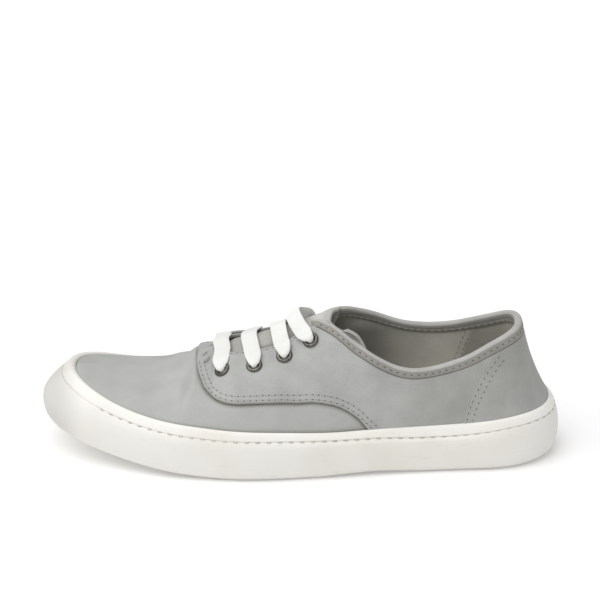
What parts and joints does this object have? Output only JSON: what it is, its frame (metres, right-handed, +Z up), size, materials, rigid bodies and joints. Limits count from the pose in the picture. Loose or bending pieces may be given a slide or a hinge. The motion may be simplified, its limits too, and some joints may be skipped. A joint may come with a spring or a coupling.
{
  "type": "low-top sneaker",
  "caption": "Low-top lace-up canvas sneaker, left shoe, with a stitched rubber cupsole, side panels, heel counter, bound collar, tongue, metal eyelets and flat lace bars.",
  "frame": {"origin": "on the floor, under the middle of the shoe's length and width", "axes": "toe towards -X, heel towards +X, lateral side towards -Y, medial side towards +Y, +Z up"},
  "size_m": [0.271, 0.1014, 0.0782],
  "materials": {
    "offwhite_rubber": "matt moulded rubber",
    "grey_canvas": "plain weave canvas",
    "grey_canvas_panel": "plain weave canvas, double stitched",
    "binding_tape": "folded cotton tape, top stitched",
    "lining_cloth": "brushed lining cloth",
    "lace_cotton": "flat woven cotton lace",
    "dark_nickel": "dark nickel plate"
  },
  "bodies": {
    "root": {"cupsole": "offwhite_rubber", "insole": "lining_cloth", "upper": "grey_canvas", "tongue": "grey_canvas", "quarter_lateral": "grey_canvas_panel", "quarter_medial": "grey_canvas_panel", "heel_counter": "grey_canvas_panel", "collar_binding": "binding_tape", "eyelet_lateral_1": "dark_nickel", "eyelet_lateral_2": "dark_nickel", "eyelet_lateral_3": "dark_nickel", "eyelet_lateral_4": "dark_nickel", "eyelet_medial_1": "dark_nickel", "eyelet_medial_2": "dark_nickel", "eyelet_medial_3": "dark_nickel", "eyelet_medial_4": "dark_nickel", "lace_bar_1": "lace_cotton", "lace_bar_2": "lace_cotton", "lace_bar_3": "lace_cotton", "lace_bar_4": "lace_cotton"}
  },
  "joints": []
}
